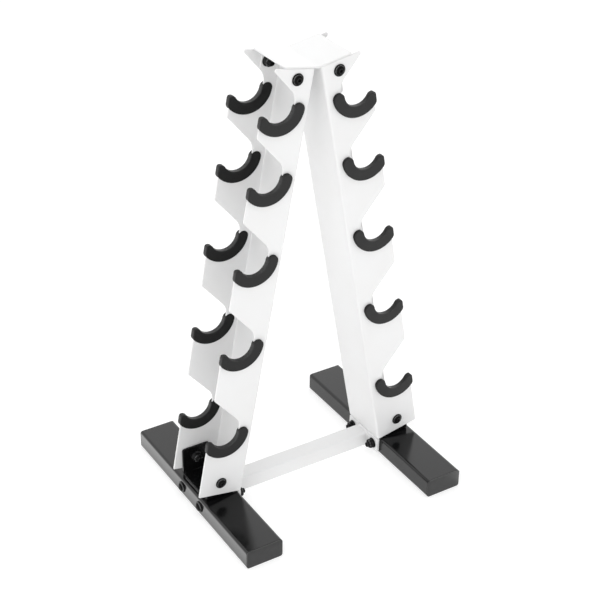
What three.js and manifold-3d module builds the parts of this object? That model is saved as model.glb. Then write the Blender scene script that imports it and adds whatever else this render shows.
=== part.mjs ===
// Five-tier A-frame dumbbell rack.
// Two leaning sheet-metal channels stand on two foot tubes, joined by a cap at the top and a
// crossbar at the bottom. Each channel's flanges have five notches lined with rubber pads.
// Millimetres, +X from the left foot to the right, +Y to the rear, +Z up, floor at Z = 0.
import * as THREE from 'three';
import { mergeVertices } from 'three/addons/utils/BufferGeometryUtils.js';
import Module from 'manifold-3d';

// ---- Driving dimensions ----

const GAP = 0.3; // clearance between pieces that seat on each other
const SIDES = { left: -1, right: 1 };
const FACES = { front: -1, rear: 1 };

// Foot tubes, along Y
const FOOT_SPACING = 320;
const FOOT_WIDTH = 60;
const FOOT_HEIGHT = 30;
const FOOT_LENGTH = 344;
const FOOT_CORNER = 4;
const TUBE_WALL = 1.5;
const PLUG_FACE = 2;
const PLUG_INSERT = 14;

// Channel uprights
const LEAN = THREE.MathUtils.degToRad(10.4);
const CHANNEL_LENGTH = 667;
const CHANNEL_WIDTH = 84; // across the web, along Y
const CHANNEL_DEPTH = 73.5; // flange, from the web's face outwards
const SHEET = 2.5;
const BEND_RADIUS = 4; // outside of the fold
const WEB_X = 125.2; // web face at its lower end
const FLANGE_CORNER = 2;

// Cradle notches, in the plane of a flange: t outwards from the web, s up along the channel
const CRADLE_T = 47.8;
const CRADLE_S = [108.5, 255.2, 389.4, 511.8, 613.2]; // tier 1 is the lowest
const NOTCH_RADIUS = 24;
const NOTCH_WALL = 6; // straight edge above the round seat
const RAMP_ANGLE = THREE.MathUtils.degToRad(50.3); // ramp edge, from the channel's axis
const RAMP_CORNER = 4;
const TIP_DROP = 17; // outer tip of the seat, below the cradle's centre
const TIP_CORNER = 3;
const HORN_CORNER = 3;

// Rubber pads
const PAD_RADIUS = 30.5; // middle of the crescent
const PAD_HALF_WIDTH = 8.5;
const PAD_OUTSIDE = 4.8; // stands out from the flange's face
const PAD_INSIDE = 1.2; // stands in from the flange's back
const PAD_START = THREE.MathUtils.degToRad(-178); // inner end, from t
const PAD_REACH = 1.8; // outer end, past the flange's edge
const PAD_HEEL_CORNER = 3.5; // lower corner of the outer end
const PAD_TIP_DROP = 11.5; // top of the outer end, below the cradle's centre
const PAD_TIP_CORNER = 4.5;

// Brackets
const PLATE = 3;
const PLATE_BEND = 4;
const FOOT_BRACKET_WIDTH = 46;
const FOOT_BRACKET_HEIGHT = 46.5;
const BRACKET_CORNER = 4;
const CAP_REACH = 49; // cap wing, outwards from the web
const CAP_THICKNESS = 2.5;
const CAP_CORNER = 3;
const TAB_SPAN = [11.3, 35.5]; // outwards from the web
const TAB_DROP = 26;

// Crossbar
const CROSSBAR_DEPTH = 28;
const CROSSBAR_HEIGHT = 25;
const CROSSBAR_Z = 15;
const END_PLATE_Z = 16;
const CROSSBAR_CORNER = 3;
const END_PLATE_WIDTH = 80;
const END_PLATE_HEIGHT = 27;
const END_PLATE_THICKNESS = 4.7;

// M8 fasteners
const SHANK_RADIUS = 4;
const HOLE_RADIUS = 4.5;
const SHANK_CHAMFER = 0.8;
const HEAD_FLANGE_RADIUS = 8.9;
const HEAD_FLANGE_RIM = 1;
const HEAD_FLANGE_HEIGHT = 1.6;
const HEAD_RADIUS = 7;
const HEAD_SHOULDER = { radius: 6, height: 3.6 };
const HEAD_TOP_RADIUS = 3.5;
const HEAD_HEIGHT = 4.8;
const SOCKET_FLATS = 5;
const SOCKET_DEPTH = 2.8;
const SHORT_BOLT = 20;
const LONG_BOLT = 78;
const NUT_FLATS = 13;
const NUT_HEIGHT = 8;
const NUT_FLANGE_RADIUS = 8.5;
const NUT_FLANGE_SLOPE = 1;
const NUT_FLANGE_HEIGHT = 1.6;
const TOP_BOLT = { t: 25.8, s: 652.5 };
const BASE_BOLT_Z = 58;
const FOOT_BOLT_Y = 28;
const FOOT_BOLT_Z = 15.5;

// Arc resolution
const ARC_STEPS = 4; // an arc is drawn with twice this many chords
const ROUND_STEPS = 12;

// ---- Materials ----

function paint(color, roughness, metalness) {
  return new THREE.MeshStandardMaterial({ color, roughness, metalness });
}

const WHITE_COAT = paint(0xf1f1ef, 0.5, 0);
const BLACK_GLOSS = paint(0x1b1b1c, 0.2, 0);
const RUBBER = paint(0x2b2b2d, 0.75, 0);
const PLASTIC = paint(0x202022, 0.4, 0);
const BLACK_OXIDE = paint(0x141415, 0.35, 0.7);

// ---- Solids ----

const wasm = await Module();
wasm.setup();

// A closed three.js geometry as a solid that can be joined and cut.
function solidOf(geometry) {
  const bare = geometry.clone();
  bare.deleteAttribute('normal');
  bare.deleteAttribute('uv');
  const merged = mergeVertices(bare, 1e-4);
  const corners = merged.index.array;
  const triangles = [];
  for (let i = 0; i < corners.length; i += 3) {
    const [a, b, c] = corners.slice(i, i + 3);
    if (a !== b && b !== c && c !== a) triangles.push(a, b, c);
  }
  return new wasm.Manifold(new wasm.Mesh({
    numProp: 3,
    vertProperties: new Float32Array(merged.attributes.position.array),
    triVerts: new Uint32Array(triangles),
  }));
}

function geometryOf(solid) {
  const mesh = solid.getMesh();
  const geometry = new THREE.BufferGeometry();
  geometry.setAttribute('position', new THREE.BufferAttribute(mesh.vertProperties, 3));
  geometry.setIndex(new THREE.BufferAttribute(mesh.triVerts, 1));
  geometry.computeVertexNormals();
  return geometry;
}

// ---- Outlines ----

// Goes on along a path to a corner and round it.
function roundCorner(path, before, corner, after, radius) {
  const back = before.clone().sub(corner).normalize();
  const ahead = after.clone().sub(corner).normalize();
  const half = Math.acos(back.dot(ahead)) / 2;
  const reach = radius / Math.tan(half);
  const middle = back.clone().add(ahead).normalize();
  const centre = corner.clone().addScaledVector(middle, radius / Math.sin(half));
  const start = corner.clone().addScaledVector(back, reach).sub(centre);
  const end = corner.clone().addScaledVector(ahead, reach).sub(centre);
  const clockwise = back.cross(ahead) > 0;
  path.absarc(centre.x, centre.y, radius, start.angle(), end.angle(), clockwise);
}

// A closed outline through corner points, each [x, y, radius].
function outline(corners, path = new THREE.Shape()) {
  const points = corners.map(([x, y]) => new THREE.Vector2(x, y));
  const count = points.length;
  points.forEach((corner, i) => {
    const radius = corners[i][2] ?? 0;
    const before = points[(i + count - 1) % count];
    const after = points[(i + 1) % count];
    if (radius > 0) roundCorner(path, before, corner, after, radius);
    else if (i === 0) path.moveTo(corner.x, corner.y);
    else path.lineTo(corner.x, corner.y);
  });
  path.closePath();
  return path;
}

function rectangle(width, height, radius, path) {
  const [x, y] = [width / 2, height / 2];
  return outline([[-x, -y, radius], [x, -y, radius], [x, y, radius], [-x, y, radius]], path);
}

function tubeSection(width, height, radius) {
  const section = rectangle(width, height, radius);
  const bore = radius - TUBE_WALL;
  section.holes.push(rectangle(width - 2 * TUBE_WALL, height - 2 * TUBE_WALL, bore, new THREE.Path()));
  return section;
}

function extrude(shape, depth) {
  return new THREE.ExtrudeGeometry(shape, { depth, bevelEnabled: false, curveSegments: ARC_STEPS });
}

// An outline in X and Z, extruded along Y from one place to another.
function alongY(shape, from, to) {
  return extrude(shape, to - from).rotateX(Math.PI / 2).translate(0, to, 0);
}

// An outline in Y and Z, extruded along X from one place to another.
function alongX(shape, from, to) {
  return extrude(shape, to - from).rotateX(Math.PI / 2).rotateZ(Math.PI / 2).translate(from, 0, 0);
}

function rodAlongY(radius, length, x, z) {
  return new THREE.CylinderGeometry(radius, radius, length, ROUND_STEPS).translate(x, 0, z);
}

function rodAlongX(radius, length, x, y, z) {
  const rod = new THREE.CylinderGeometry(radius, radius, length, ROUND_STEPS);
  return rod.rotateZ(Math.PI / 2).translate(x, y, z);
}

// ---- Uprights ----

// Where a point of a channel's own plane (t, s) is in the rack's X and Z.
const BASE_Z = FOOT_HEIGHT + GAP;
function inRack(side, t, s) {
  const x = WEB_X + t * Math.cos(LEAN) - s * Math.sin(LEAN);
  const z = BASE_Z + t * Math.sin(LEAN) + s * Math.cos(LEAN);
  return { x: side * x, z };
}

// The reverse, for a point on the right side.
function inChannel(x, z) {
  const [dx, dz] = [x - WEB_X, z - BASE_Z];
  return {
    t: dx * Math.cos(LEAN) + dz * Math.sin(LEAN),
    s: dz * Math.cos(LEAN) - dx * Math.sin(LEAN),
  };
}

// The seat's edge: over the outer tip, round the seat, to the inner side level with its centre.
function seatEdge(path, t, s, edge, clearance) {
  const radius = NOTCH_RADIUS - clearance;
  const tipTop = s - TIP_DROP + clearance;
  const tipAngle = Math.asin((tipTop - s) / radius);
  const tipEdge = edge + clearance;
  path.lineTo(tipEdge, tipTop - TIP_CORNER);
  path.quadraticCurveTo(tipEdge, tipTop, tipEdge - TIP_CORNER, tipTop);
  path.absarc(t, s, radius, tipAngle, -Math.PI, true);
}

// The flange's outline: straight at the web, notched on the outer edge.
function flangeOutline() {
  const shape = new THREE.Shape();
  const neck = CRADLE_T - NOTCH_RADIUS;
  const rampRun = (CHANNEL_DEPTH - neck - NOTCH_RADIUS * (1 - Math.cos(RAMP_ANGLE))) / Math.tan(RAMP_ANGLE);
  shape.moveTo(0, 0);
  shape.lineTo(CHANNEL_DEPTH - FLANGE_CORNER, 0);
  shape.quadraticCurveTo(CHANNEL_DEPTH, 0, CHANNEL_DEPTH, FLANGE_CORNER);
  for (const s of CRADLE_S) {
    seatEdge(shape, CRADLE_T, s, CHANNEL_DEPTH, 0);
    shape.absarc(CRADLE_T, s + NOTCH_WALL, NOTCH_RADIUS, Math.PI, Math.PI - RAMP_ANGLE, true);
    const rampStart = new THREE.Vector2(
      CRADLE_T - NOTCH_RADIUS * Math.cos(RAMP_ANGLE),
      s + NOTCH_WALL + NOTCH_RADIUS * Math.sin(RAMP_ANGLE),
    );
    const rampEnd = new THREE.Vector2(CHANNEL_DEPTH, rampStart.y + rampRun);
    if (rampEnd.y < CHANNEL_LENGTH) {
      const up = new THREE.Vector2(CHANNEL_DEPTH, rampEnd.y + RAMP_CORNER);
      roundCorner(shape, rampStart, rampEnd, up, RAMP_CORNER);
    } else {
      const horn = new THREE.Vector2(
        rampStart.x + (CHANNEL_LENGTH - rampStart.y) * Math.tan(RAMP_ANGLE),
        CHANNEL_LENGTH,
      );
      roundCorner(shape, rampStart, horn, new THREE.Vector2(0, CHANNEL_LENGTH), HORN_CORNER);
    }
  }
  shape.lineTo(0, CHANNEL_LENGTH);
  shape.closePath();
  return shape;
}

const BASE_BOLT = inChannel(FOOT_SPACING / 2, BASE_BOLT_Z);

// The channel in its own frame: X outwards from the web, Z up along it.
function channelGeometry() {
  const half = CHANNEL_WIDTH / 2;
  const inner = half - SHEET;
  const section = outline([
    [CHANNEL_DEPTH + SHEET, -half],
    [CHANNEL_DEPTH + SHEET, -inner],
    [SHEET, -inner, BEND_RADIUS - SHEET],
    [SHEET, inner, BEND_RADIUS - SHEET],
    [CHANNEL_DEPTH + SHEET, inner],
    [CHANNEL_DEPTH + SHEET, half],
    [0, half, BEND_RADIUS],
    [0, -half, BEND_RADIUS],
  ]);
  const folded = solidOf(extrude(section, CHANNEL_LENGTH));
  const notched = solidOf(alongY(flangeOutline(), -CHANNEL_WIDTH, CHANNEL_WIDTH));
  let channel = folded.intersect(notched);
  for (const { t, s } of [TOP_BOLT, BASE_BOLT]) {
    channel = channel.subtract(solidOf(rodAlongY(HOLE_RADIUS, 2 * CHANNEL_WIDTH, t, s)));
  }
  return geometryOf(channel);
}

// ---- Pads ----

// Round the seat: its inner end is round, and its outer end is cut along the flange's edge.
function crescentOutline() {
  const inner = PAD_RADIUS - PAD_HALF_WIDTH;
  const outer = PAD_RADIUS + PAD_HALF_WIDTH;
  const edge = CHANNEL_DEPTH - CRADLE_T + PAD_REACH;
  const heel = -Math.sqrt(outer ** 2 - edge ** 2);
  const heelStart = Math.atan2(heel, edge) - PAD_HEEL_CORNER / outer;
  const tip = -PAD_TIP_DROP;
  const tipRound = PAD_TIP_CORNER / 2;
  const seatEnd = Math.asin((tip - tipRound) / inner);
  const [seatX, seatY] = [inner * Math.cos(seatEnd), inner * Math.sin(seatEnd)];
  const startX = PAD_RADIUS * Math.cos(PAD_START);
  const startY = PAD_RADIUS * Math.sin(PAD_START);
  const shape = new THREE.Shape();
  shape.absarc(0, 0, outer, PAD_START, heelStart, false);
  shape.quadraticCurveTo(edge, heel, edge, heel + PAD_HEEL_CORNER);
  shape.lineTo(edge, tip - PAD_TIP_CORNER);
  shape.quadraticCurveTo(edge, tip, edge - PAD_TIP_CORNER, tip);
  shape.quadraticCurveTo(seatX + tipRound, tip, seatX, seatY);
  shape.absarc(0, 0, inner, seatEnd, PAD_START, true);
  shape.absarc(startX, startY, PAD_HALF_WIDTH, PAD_START + Math.PI, PAD_START + 2 * Math.PI, false);
  return shape;
}

// The room for the flange inside a pad, a little larger than the flange itself.
function grooveOutline() {
  const reach = 2 * PAD_RADIUS;
  const radius = NOTCH_RADIUS - GAP;
  const shape = new THREE.Shape();
  shape.moveTo(-reach, -reach);
  shape.lineTo(CHANNEL_DEPTH - CRADLE_T + GAP, -reach);
  seatEdge(shape, 0, 0, CHANNEL_DEPTH - CRADLE_T, GAP);
  shape.lineTo(-radius, NOTCH_RADIUS);
  shape.lineTo(-reach, NOTCH_RADIUS);
  shape.closePath();
  return shape;
}

// A pad on a flange at Y = 0 whose outer face looks towards `outward` Y.
function padGeometry(outward) {
  const faces = [outward * (SHEET / 2 + PAD_OUTSIDE), -outward * (SHEET / 2 + PAD_INSIDE)];
  const crescent = solidOf(alongY(crescentOutline(), Math.min(...faces), Math.max(...faces)));
  const groove = solidOf(alongY(grooveOutline(), -SHEET / 2 - GAP, SHEET / 2 + GAP));
  return geometryOf(crescent.subtract(groove));
}

// ---- Feet ----

function footGeometry() {
  const half = FOOT_LENGTH / 2 - PLUG_FACE;
  let foot = solidOf(alongY(tubeSection(FOOT_WIDTH, FOOT_HEIGHT, FOOT_CORNER), -half, half));
  for (const face of Object.values(FACES)) {
    const z = FOOT_BOLT_Z - FOOT_HEIGHT / 2;
    foot = foot.subtract(solidOf(rodAlongX(HOLE_RADIUS, 2 * FOOT_WIDTH, 0, face * FOOT_BOLT_Y, z)));
  }
  return geometryOf(foot);
}

// A plug with its face at Y = 0 and its hollow insert towards +Y.
function plugGeometry() {
  const [width, height] = [FOOT_WIDTH, FOOT_HEIGHT].map((size) => size - 2 * TUBE_WALL - 2 * GAP);
  const face = solidOf(alongY(rectangle(FOOT_WIDTH, FOOT_HEIGHT, FOOT_CORNER), 0, PLUG_FACE - GAP));
  const insertCorner = FOOT_CORNER - TUBE_WALL;
  const insert = solidOf(alongY(tubeSection(width, height, insertCorner), PLUG_FACE / 2, PLUG_INSERT));
  return geometryOf(face.add(insert));
}

// A U bracket standing on a foot tube, its base at Z = 0.
function footBracketGeometry() {
  const outer = CHANNEL_WIDTH / 2 - SHEET - GAP;
  const inner = outer - PLATE;
  const top = FOOT_BRACKET_HEIGHT;
  const section = outline([
    [-outer, 0, PLATE_BEND],
    [outer, 0, PLATE_BEND],
    [outer, top],
    [inner, top],
    [inner, PLATE, PLATE_BEND - PLATE],
    [-inner, PLATE, PLATE_BEND - PLATE],
    [-inner, top],
    [-outer, top],
  ]);
  const half = FOOT_BRACKET_WIDTH / 2;
  const folded = solidOf(alongX(section, -half, half));
  const ears = outline([[-half, 0], [half, 0], [half, top, BRACKET_CORNER], [-half, top, BRACKET_CORNER]]);
  const rounded = solidOf(alongY(ears, -CHANNEL_WIDTH, CHANNEL_WIDTH));
  const hole = solidOf(rodAlongY(HOLE_RADIUS, 2 * CHANNEL_WIDTH, 0, BASE_BOLT_Z - FOOT_HEIGHT));
  return geometryOf(folded.intersect(rounded).subtract(hole));
}

// ---- Top bracket ----

// The V-bent cap plate that lies on both channels, with a tab inside each flange.
function topBracketGeometry() {
  const under = CHANNEL_LENGTH + GAP;
  const over = under + CAP_THICKNESS;
  const valley = (s) => inRack(1, (s * Math.sin(LEAN) - WEB_X) / Math.cos(LEAN), s).z;
  const wing = (side, s) => {
    const end = inRack(side, CAP_REACH, s);
    return [end.x, end.z];
  };
  const vee = outline([
    [0, valley(under)],
    wing(1, under),
    wing(1, over),
    [0, valley(over)],
    wing(-1, over),
    wing(-1, under),
  ]);
  const half = CHANNEL_WIDTH / 2;
  const span = inRack(1, CAP_REACH, under).x + GAP;
  const plan = extrude(rectangle(2 * span, CHANNEL_WIDTH, CAP_CORNER), 2 * CHANNEL_LENGTH);
  let bracket = solidOf(alongY(vee, -half, half)).intersect(solidOf(plan));
  const tabOuter = half - SHEET - GAP;
  const [tabIn, tabOut] = TAB_SPAN;
  const tabTop = under + CAP_THICKNESS / 2;
  for (const side of Object.values(SIDES)) {
    const corner = (t, s, radius) => {
      const { x, z } = inRack(side, t, s);
      return [x, z, radius];
    };
    const tab = outline([
      corner(tabIn, tabTop, 0),
      corner(tabIn, under - TAB_DROP, BRACKET_CORNER),
      corner(tabOut, under - TAB_DROP, BRACKET_CORNER),
      corner(tabOut, tabTop, 0),
    ]);
    for (const face of Object.values(FACES)) {
      const [from, to] = [face * tabOuter, face * (tabOuter - PLATE)].sort((a, b) => a - b);
      bracket = bracket.add(solidOf(alongY(tab, from, to)));
    }
    const bolt = inRack(side, TOP_BOLT.t, TOP_BOLT.s);
    bracket = bracket.subtract(solidOf(rodAlongY(HOLE_RADIUS, 2 * CHANNEL_WIDTH, bolt.x, bolt.z)));
  }
  return geometryOf(bracket);
}

// ---- Crossbar ----

const END_PLATE_X = FOOT_SPACING / 2 - FOOT_WIDTH / 2 - GAP - END_PLATE_THICKNESS;

function crossbarGeometry() {
  const half = END_PLATE_X - GAP;
  return alongX(tubeSection(CROSSBAR_DEPTH, CROSSBAR_HEIGHT, CROSSBAR_CORNER), -half, half);
}

function endPlateGeometry() {
  const face = rectangle(END_PLATE_WIDTH, END_PLATE_HEIGHT, BRACKET_CORNER);
  let plate = solidOf(alongX(face, 0, END_PLATE_THICKNESS));
  for (const end of Object.values(FACES)) {
    const z = FOOT_BOLT_Z - END_PLATE_Z;
    plate = plate.subtract(solidOf(rodAlongX(HOLE_RADIUS, END_PLATE_WIDTH, 0, end * FOOT_BOLT_Y, z)));
  }
  return geometryOf(plate);
}

// ---- Fasteners ----

// A flanged button-head bolt along Y: it seats at Y = 0, with its head towards +Y.
function boltGeometry(length) {
  const profile = [
    [0, -length],
    [SHANK_RADIUS - SHANK_CHAMFER, -length],
    [SHANK_RADIUS, SHANK_CHAMFER - length],
    [SHANK_RADIUS, 0],
    [HEAD_FLANGE_RADIUS, 0],
    [HEAD_FLANGE_RADIUS, HEAD_FLANGE_RIM],
    [HEAD_RADIUS, HEAD_FLANGE_HEIGHT],
    [HEAD_SHOULDER.radius, HEAD_SHOULDER.height],
    [HEAD_TOP_RADIUS, HEAD_HEIGHT],
    [0, HEAD_HEIGHT],
  ];
  const points = profile.map(([x, y]) => new THREE.Vector2(x, y));
  const body = solidOf(new THREE.LatheGeometry(points, ROUND_STEPS));
  const socketRadius = SOCKET_FLATS / Math.sqrt(3);
  const socket = new THREE.CylinderGeometry(socketRadius, socketRadius, 2 * SOCKET_DEPTH, 6);
  return geometryOf(body.subtract(solidOf(socket.translate(0, HEAD_HEIGHT, 0))));
}

// A flange nut along Y: it seats at Y = 0, with its hexagon towards +Y.
function nutGeometry() {
  const hexRadius = NUT_FLATS / Math.sqrt(3);
  const hexagon = new THREE.CylinderGeometry(hexRadius, hexRadius, NUT_HEIGHT, 6);
  const flange = new THREE.CylinderGeometry(
    NUT_FLANGE_RADIUS - NUT_FLANGE_SLOPE,
    NUT_FLANGE_RADIUS,
    NUT_FLANGE_HEIGHT,
    ROUND_STEPS,
  );
  const bore = rodAlongY(SHANK_RADIUS + GAP, 4 * NUT_HEIGHT, 0, 0);
  const body = solidOf(hexagon.translate(0, NUT_HEIGHT / 2, 0));
  const seat = solidOf(flange.translate(0, NUT_FLANGE_HEIGHT / 2, 0));
  return geometryOf(body.add(seat).subtract(solidOf(bore)));
}

// ---- Assembly ----

const rack = new THREE.Group();

function addMesh(parent, name, geometry, material, x = 0, y = 0, z = 0) {
  const mesh = new THREE.Mesh(geometry, material);
  mesh.name = name;
  mesh.position.set(x, y, z);
  parent.add(mesh);
  return mesh;
}

const channel = channelGeometry();
const pads = { [-1]: padGeometry(-1), [1]: padGeometry(1) }; // by the way the outer face looks
const foot = footGeometry();
const plug = plugGeometry();
const footBracket = footBracketGeometry();
const endPlate = endPlateGeometry();
const shortBolt = boltGeometry(SHORT_BOLT);
const longBolt = boltGeometry(LONG_BOLT);
const nut = nutGeometry();

const flangeFace = CHANNEL_WIDTH / 2 + GAP;
const tabFace = CHANNEL_WIDTH / 2 - SHEET - GAP - PLATE - GAP;
const padY = CHANNEL_WIDTH / 2 - SHEET / 2;

for (const [sideName, side] of Object.entries(SIDES)) {
  const footX = side * FOOT_SPACING / 2;
  addMesh(rack, `${sideName}_foot`, foot, BLACK_GLOSS, footX, 0, FOOT_HEIGHT / 2);
  addMesh(rack, `${sideName}_foot_bracket`, footBracket, BLACK_GLOSS, footX, 0, FOOT_HEIGHT);

  // The channel's own frame leans inwards; the left one is the right one turned round.
  const leaning = new THREE.Group();
  leaning.position.set(side * WEB_X, 0, BASE_Z);
  leaning.rotation.set(0, -LEAN, side > 0 ? 0 : Math.PI, 'ZYX');
  rack.add(leaning);
  addMesh(leaning, `${sideName}_upright`, channel, WHITE_COAT);

  const plateX = side > 0 ? END_PLATE_X : -END_PLATE_X - END_PLATE_THICKNESS;
  addMesh(rack, `${sideName}_crossbar_plate`, endPlate, WHITE_COAT, plateX, 0, END_PLATE_Z);

  for (const [faceName, face] of Object.entries(FACES)) {
    const place = `${sideName}_${faceName}`;
    const outward = side * face; // in the leaning channel's own frame
    CRADLE_S.forEach((s, tier) => {
      addMesh(leaning, `pad_${place}_${tier + 1}`, pads[outward], RUBBER, CRADLE_T, outward * padY, s);
    });

    const footEnd = face * FOOT_LENGTH / 2;
    const plugMesh = addMesh(rack, `plug_${place}`, plug, PLASTIC, footX, footEnd, FOOT_HEIGHT / 2);
    plugMesh.rotation.z = face < 0 ? 0 : Math.PI;

    const turn = face > 0 ? 0 : Math.PI;
    const top = inRack(side, TOP_BOLT.t, TOP_BOLT.s);
    for (const [where, x, z] of [['top', top.x, top.z], ['base', footX, BASE_BOLT_Z]]) {
      const bolt = addMesh(rack, `bolt_${where}_${place}`, shortBolt, BLACK_OXIDE, x, face * flangeFace, z);
      bolt.rotation.x = turn;
      const nutMesh = addMesh(rack, `nut_${where}_${place}`, nut, BLACK_OXIDE, x, face * tabFace, z);
      nutMesh.rotation.x = Math.PI - turn;
    }

    const headX = side * (FOOT_SPACING / 2 + FOOT_WIDTH / 2 + GAP);
    const nutX = side * (END_PLATE_X - GAP);
    const y = face * FOOT_BOLT_Y;
    const footBolt = addMesh(rack, `bolt_foot_${place}`, longBolt, BLACK_OXIDE, headX, y, FOOT_BOLT_Z);
    footBolt.rotation.z = -side * Math.PI / 2;
    const footNut = addMesh(rack, `nut_foot_${place}`, nut, BLACK_OXIDE, nutX, y, FOOT_BOLT_Z);
    footNut.rotation.z = side * Math.PI / 2;
  }
}

addMesh(rack, 'top_bracket', topBracketGeometry(), WHITE_COAT);
addMesh(rack, 'crossbar_tube', crossbarGeometry(), WHITE_COAT, 0, 0, CROSSBAR_Z);

export default rack;
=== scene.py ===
"""The looks of a five-tier A-frame dumbbell rack, built around its CAD frame.

Every piece is made in metres in the frame's own axes: +X from the left foot to the right one, +Y to the
rear and +Z up. A piece takes its place from the box of the CAD node that it stands for.
"""
import math
import random

import bmesh
import bpy
from mathutils import Matrix, Vector
from mathutils.geometry import delaunay_2d_cdt


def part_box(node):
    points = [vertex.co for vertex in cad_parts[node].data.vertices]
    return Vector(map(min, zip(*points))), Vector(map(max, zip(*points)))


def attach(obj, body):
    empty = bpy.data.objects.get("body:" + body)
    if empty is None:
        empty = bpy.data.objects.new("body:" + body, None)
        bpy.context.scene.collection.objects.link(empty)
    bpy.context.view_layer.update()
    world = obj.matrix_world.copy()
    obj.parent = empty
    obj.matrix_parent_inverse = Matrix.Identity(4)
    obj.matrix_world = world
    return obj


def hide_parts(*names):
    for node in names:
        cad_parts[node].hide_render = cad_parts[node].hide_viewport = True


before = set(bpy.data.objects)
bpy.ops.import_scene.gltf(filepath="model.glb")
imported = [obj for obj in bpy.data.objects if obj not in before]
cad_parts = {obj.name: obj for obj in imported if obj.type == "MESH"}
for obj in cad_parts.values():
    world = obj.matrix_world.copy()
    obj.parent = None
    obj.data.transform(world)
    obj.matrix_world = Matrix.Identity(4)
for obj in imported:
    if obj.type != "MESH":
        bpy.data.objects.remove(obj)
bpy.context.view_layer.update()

MM = 0.001
SIDES = {"left": -1, "right": 1}
FACES = {"front": -1, "rear": 1}

# ---- Sizes, in metres ----

GAP = 0.3 * MM
LEAN = math.radians(10.4)
SHEET = 2.5 * MM
CHANNEL_LENGTH = 667 * MM
CHANNEL_WIDTH = 84 * MM
CHANNEL_DEPTH = 73.5 * MM
CHANNEL_BEND = 4 * MM  # outside of the fold
FLANGE_CORNER = 2 * MM
COAT_EDGE = 0.7 * MM  # rounding of a coated sheet's edges

CRADLE_T = 47.8 * MM
CRADLE_S = [s * MM for s in (108.5, 255.2, 389.4, 511.8, 613.2)]
NOTCH_RADIUS = 24 * MM
NOTCH_WALL = 6 * MM
RAMP_ANGLE = math.radians(50.3)
RAMP_CORNER = 4 * MM
TIP_DROP = 17 * MM
TIP_CORNER = 3 * MM
HORN_CORNER = 3 * MM

PAD_RADIUS = 30.5 * MM
PAD_HALF_WIDTH = 8.5 * MM
PAD_OUTSIDE = 4.8 * MM
PAD_INSIDE = 1.2 * MM
PAD_START = math.radians(-178)
PAD_REACH = 1.8 * MM
PAD_HEEL_CORNER = 3.5 * MM
PAD_TIP_DROP = 11.5 * MM
PAD_TIP_CORNER = 4.5 * MM
PAD_EDGE = 1.1 * MM
PAD_SHARP = math.radians(40)  # faces that meet at more than this look sharp

PLATE = 3 * MM
PLATE_EDGE = 0.5 * MM
BRACKET_CORNER = 4 * MM
CAP_THICKNESS = 2.5 * MM
CAP_CORNER = 3 * MM
CAP_BEND = 7 * MM  # radius along the valley
TAB_SPAN = (11.3 * MM, 35.5 * MM)
TAB_DROP = 26 * MM
TOP_BOLT_T = 25.8 * MM
TOP_BOLT_S = 652.5 * MM

FOOT_CORNER = 4 * MM
CROSSBAR_CORNER = 3 * MM
TUBE_WALL = 1.5 * MM
TUBE_EDGE = 0.4 * MM
TUBE_HOLD = 1.5 * MM  # how far the wear of a tube's end runs out
PLUG_FACE = 1.7 * MM
PLUG_EDGE = 0.7 * MM
PLUG_DOME = 0.25 * MM  # how far the face bulges
PLUG_BACK = 0.15 * MM  # bevel where the face meets the tube
PLUG_INSERT = 14 * MM
PLUG_WEB = 3 * MM  # depth of the solid end behind the face

SHANK_RADIUS = 4 * MM
HOLE_RADIUS = 4.5 * MM
THREAD_PITCH = 1.25 * MM
THREAD_DEPTH = 0.62 * MM
THREAD_LENGTH = 26 * MM
HEAD_HEIGHT = 4.8 * MM
SOCKET_FLATS = 5 * MM
NUT_FLATS = 13 * MM
NUT_HEIGHT = 8 * MM

SLIVER = (0.01 * MM) ** 2  # twice the area of a triangle too thin to keep

WELD_SIDES = 12
WELD_RADIUS = 1.9 * MM
WELD_RIPPLE = 1.7 * MM
WELD_WANDER = 5.3 * MM
SMALL_WELD = 1.5 * MM
TAB_WELD = 1.4 * MM


# ---- Shapes ----


class Shape:
    """Points and faces, with how far each point is worn: 1 on an exposed edge and 0 on a flat. On bolt
    heads the same value also lays on a painted highlight.
    """

    def __init__(self):
        self.points = []
        self.faces = []
        self.wear_and_sheen = []

    def add(self, other, matrix=Matrix()):
        """Takes in another shape, moved to its place by a matrix."""
        start = len(self.points)
        self.points += [matrix @ Vector(p) for p in other.points]
        self.faces += [tuple(start + i for i in face) for face in other.faces]
        self.wear_and_sheen += other.wear_and_sheen
        return self

    def mesh(self, name, slot, sharp=None):
        """The shape as a mesh in the finish of a material slot, smooth all over, or sharp where faces
        meet at more than that angle."""
        mesh = bpy.data.meshes.new(name)
        mesh.from_pydata([tuple(p) for p in self.points], [], self.faces)
        mesh.attributes.new("wear_and_sheen", "FLOAT", "POINT").data.foreach_set("value", self.wear_and_sheen)
        build = bmesh.new()
        build.from_mesh(mesh)
        bmesh.ops.recalc_face_normals(build, faces=build.faces)
        build.to_mesh(mesh)
        build.free()
        mesh.shade_smooth()
        if sharp is not None:
            mesh.set_sharp_from_angle(angle=sharp)
        mesh.materials.append(FINISHES[slot])
        mesh["slot"] = slot
        return mesh


def arc(x, y, radius, start, end, steps):
    """Points along an arc, both ends included."""
    turns = [start + (end - start) * i / steps for i in range(steps + 1)]
    return [(x + radius * math.cos(a), y + radius * math.sin(a)) for a in turns]


def quadratic(start, control, end, steps):
    """Points along a quadratic curve, both ends included."""
    found = []
    for i in range(steps + 1):
        k = i / steps
        weights = ((1 - k) ** 2, 2 * k * (1 - k), k * k)
        pull = list(zip(weights, (start, control, end)))
        found.append(tuple(sum(w * p[j] for w, p in pull) for j in (0, 1)))
    return found


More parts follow.
